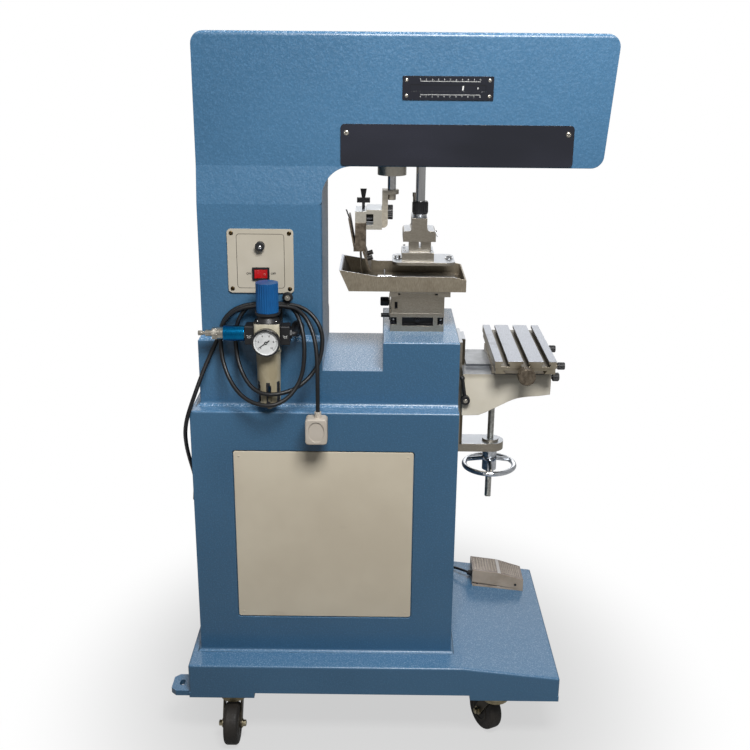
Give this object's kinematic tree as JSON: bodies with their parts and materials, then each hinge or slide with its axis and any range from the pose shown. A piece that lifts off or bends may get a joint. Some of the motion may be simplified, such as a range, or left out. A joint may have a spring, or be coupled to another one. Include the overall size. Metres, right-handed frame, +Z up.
{
  "type": "pad printing machine",
  "caption": "Floor-standing pad printing machine: C-shaped cast head with sliding doctor and pad unit, ink tray, lifting slotted work table, foot pedal and castors.",
  "frame": {"origin": "on the floor, centred under the machine", "axes": "+Z up, +X from the column towards the work table, -Y towards the controls and the gauge"},
  "size_m": [0.7279, 0.453, 1.218],
  "materials": {
    "blue_paint": "semi-gloss enamel, level faces orange-peeled",
    "beige_panel": "satin powder coat",
    "black_plate": "satin black",
    "black_plastic": "satin",
    "red_plastic": "gloss",
    "cream_plastic": "satin cast body",
    "blue_plastic": "gloss fluted",
    "gauge_white": "white face in a black rim",
    "anodised_blue": "anodised",
    "nickel": "bright nickel",
    "zinc": "yellow passivated zinc",
    "tyre": "dark tread",
    "ground_steel": "ground",
    "bright_steel": "polished",
    "tray_steel": "bent sheet",
    "plate_steel": "etched and inky",
    "aluminium": "machined",
    "screw_black": "black oxide",
    "inner_metal": "extruded",
    "pedal_tan": "hammer enamel",
    "cord_black": "matt sheath",
    "plug_grey": "light grey"
  },
  "bodies": {
    "frame": {"plinth": "blue_paint", "cabinet": "blue_paint", "cabinet_door": "beige_panel", "valve_manifold": "inner_metal", "base_block": "blue_paint", "head_casting": "blue_paint", "head_plates": "black_plate", "control_panel": "beige_panel", "panel_fittings": "black_plastic", "regulator_body": "cream_plastic", "bowl_guard": "cream_plastic", "regulator_trim": "black_plastic", "pressure_gauge": "gauge_white", "slide_valve": "nickel", "outlet_elbow": "black_plastic", "front_fixings": "screw_black", "stage_base": "ground_steel", "arm_drive": "bright_steel", "knee_rail": "ground_steel", "castor_mounts": "zinc", "pedal_base": "pedal_tan", "cable_fittings": "black_plastic", "pedal_cable": "cord_black", "power_cord": "cord_black", "power_plug": "plug_grey"},
    "fork_front_left": {"castor_fork_front_left": "zinc"},
    "wheel_front_left": {"castor_wheel_front_left": "tyre"},
    "fork_rear_left": {"castor_fork_rear_left": "zinc"},
    "wheel_rear_left": {"castor_wheel_rear_left": "tyre"},
    "fork_front_right": {"castor_fork_front_right": "zinc"},
    "wheel_front_right": {"castor_wheel_front_right": "tyre"},
    "fork_rear_right": {"castor_fork_rear_right": "zinc"},
    "wheel_rear_right": {"castor_wheel_rear_right": "tyre"},
    "rocker": {"rocker_switch": "red_plastic"},
    "regulator_control": {"regulator_knob": "blue_plastic"},
    "needle": {"gauge_needle": "screw_black"},
    "sleeve": {"valve_sleeve": "anodised_blue"},
    "cross": {"cross_slide": "ground_steel"},
    "cross_feed": {"stage_knob": "screw_black"},
    "tray": {"upper_slide": "ground_steel", "ink_tray": "tray_steel", "printing_plate": "plate_steel"},
    "carriage": {"carriage": "inner_metal"},
    "doctor": {"doctor_ram": "bright_steel", "doctor_holder": "aluminium", "doctor_blades": "bright_steel", "doctor_knobs": "black_plastic"},
    "pad": {"pad_ram": "bright_steel", "pad_clamp": "ground_steel", "pad_mount": "ground_steel"},
    "knee": {"knee": "beige_panel", "lift_screw": "bright_steel"},
    "handwheel": {"handwheel": "bright_steel"},
    "lever": {"clamp_lever": "black_plastic"},
    "saddle": {"saddle": "ground_steel"},
    "saddle_feed": {"saddle_knob": "screw_black"},
    "table": {"work_table": "ground_steel"},
    "table_feed": {"table_knob": "inner_metal"},
    "treadle": {"pedal_treadle": "pedal_tan"}
  },
  "joints": [
    {"name": "castor_swivel_front_left", "type": "hinge", "parent": "frame", "child": "fork_front_left", "pos_m": [-0.256, -0.161, 0.0887], "axis": [0, 0, 1], "continuous": true},
    {"name": "castor_roll_front_left", "type": "hinge", "parent": "fork_front_left", "child": "wheel_front_left", "pos_m": [-0.256, -0.189, 0.0375], "axis": [-1, 0, 0], "continuous": true},
    {"name": "castor_swivel_rear_left", "type": "hinge", "parent": "frame", "child": "fork_rear_left", "pos_m": [-0.256, 0.161, 0.0887], "axis": [0, 0, 1], "continuous": true},
    {"name": "castor_roll_rear_left", "type": "hinge", "parent": "fork_rear_left", "child": "wheel_rear_left", "pos_m": [-0.256, 0.189, 0.0375], "axis": [1, 0, 0], "continuous": true},
    {"name": "castor_swivel_front_right", "type": "hinge", "parent": "frame", "child": "fork_front_right", "pos_m": [0.216, -0.161, 0.0887], "axis": [0, 0, 1], "continuous": true},
    {"name": "castor_roll_front_right", "type": "hinge", "parent": "fork_front_right", "child": "wheel_front_right", "pos_m": [0.20286, -0.13628, 0.0375], "axis": [0.8829, 0.4695, 0], "continuous": true},
    {"name": "castor_swivel_rear_right", "type": "hinge", "parent": "frame", "child": "fork_rear_right", "pos_m": [0.216, 0.161, 0.0887], "axis": [0, 0, 1], "continuous": true},
    {"name": "castor_roll_rear_right", "type": "hinge", "parent": "fork_rear_right", "child": "wheel_rear_right", "pos_m": [0.20286, 0.13628, 0.0375], "axis": [-0.8829, 0.4695, 0], "continuous": true},
    {"name": "rocker_tip", "type": "hinge", "parent": "frame", "child": "rocker", "pos_m": [-0.1935, -0.1052, 0.843], "axis": [0, 0, 1], "range_deg": [-12, 0]},
    {"name": "regulator_turn", "type": "hinge", "parent": "frame", "child": "regulator_control", "pos_m": [-0.18, -0.145, 0.8], "axis": [0, 0, 1], "range_deg": [0, 1080]},
    {"name": "gauge_swing", "type": "hinge", "parent": "frame", "child": "needle", "pos_m": [-0.18, -0.1788, 0.7475], "axis": [0, 1, 0], "range_deg": [0, 270]},
    {"name": "sleeve_slide", "type": "slide", "parent": "frame", "child": "sleeve", "axis": [-1, 0, 0], "range_m": [0, 0.0085]},
    {"name": "cross_slide_x", "type": "slide", "parent": "frame", "child": "cross", "axis": [1, 0, 0], "range_m": [-0.001, 0.008]},
    {"name": "cross_feed_turn", "type": "hinge", "parent": "frame", "child": "cross_feed", "pos_m": [0.01, 0, 0.772], "axis": [1, 0, 0], "range_deg": [-400, 3000]},
    {"name": "tray_slide_y", "type": "slide", "parent": "cross", "child": "tray", "axis": [0, 1, 0], "range_m": [-0.008, 0.008]},
    {"name": "carriage_stroke", "type": "slide", "parent": "frame", "child": "carriage", "axis": [1, 0, 0], "range_m": [0, 0.14]},
    {"name": "doctor_drop", "type": "slide", "parent": "carriage", "child": "doctor", "axis": [0, 0, 1], "range_m": [-0.0195, 0]},
    {"name": "pad_lift", "type": "slide", "parent": "carriage", "child": "pad", "axis": [0, 0, 1], "range_m": [0, 0.065]},
    {"name": "knee_lift", "type": "slide", "parent": "frame", "child": "knee", "axis": [0, 0, 1], "range_m": [-0.045, 0.045]},
    {"name": "handwheel_turn", "type": "hinge", "parent": "frame", "child": "handwheel", "pos_m": [0.204, 0, 0.466], "axis": [0, 0, 1], "range_deg": [-5400, 5400]},
    {"name": "lever_swing", "type": "hinge", "parent": "knee", "child": "lever", "pos_m": [0.149, -0.077, 0.618], "axis": [0, 1, 0], "range_deg": [0, 70]},
    {"name": "saddle_slide_x", "type": "slide", "parent": "knee", "child": "saddle", "axis": [1, 0, 0], "range_m": [-0.014, 0.018]},
    {"name": "saddle_feed_turn", "type": "hinge", "parent": "knee", "child": "saddle_feed", "pos_m": [0.308, -0.04, 0.6495], "axis": [1, 0, 0], "range_deg": [-3400, 4400]},
    {"name": "table_slide_y", "type": "slide", "parent": "saddle", "child": "table", "axis": [0, 1, 0], "range_m": [-0.03, 0.03]},
    {"name": "table_feed_turn", "type": "hinge", "parent": "table", "child": "table_feed", "pos_m": [0.2445, -0.12, 0.679], "axis": [0, 1, 0], "range_deg": [-2800, 2800]},
    {"name": "treadle_press", "type": "hinge", "parent": "frame", "child": "treadle", "pos_m": [0.282, 0.128, 0.15764], "axis": [0, -1, 0], "range_deg": [0, 3], "stiffness_Nm_per_rad": 6, "springref_deg": -11.46}
  ],
  "couplings": [
    {"joint": "gauge_swing", "follows": "regulator_turn", "ratio": 0.25},
    {"joint": "cross_feed_turn", "follows": "cross_slide_x", "rad_per_m": 6283.2},
    {"joint": "handwheel_turn", "follows": "knee_lift", "rad_per_m": 2094.4},
    {"joint": "saddle_feed_turn", "follows": "saddle_slide_x", "rad_per_m": 4188.8},
    {"joint": "table_feed_turn", "follows": "table_slide_y", "rad_per_m": 1570.8}
  ]
}
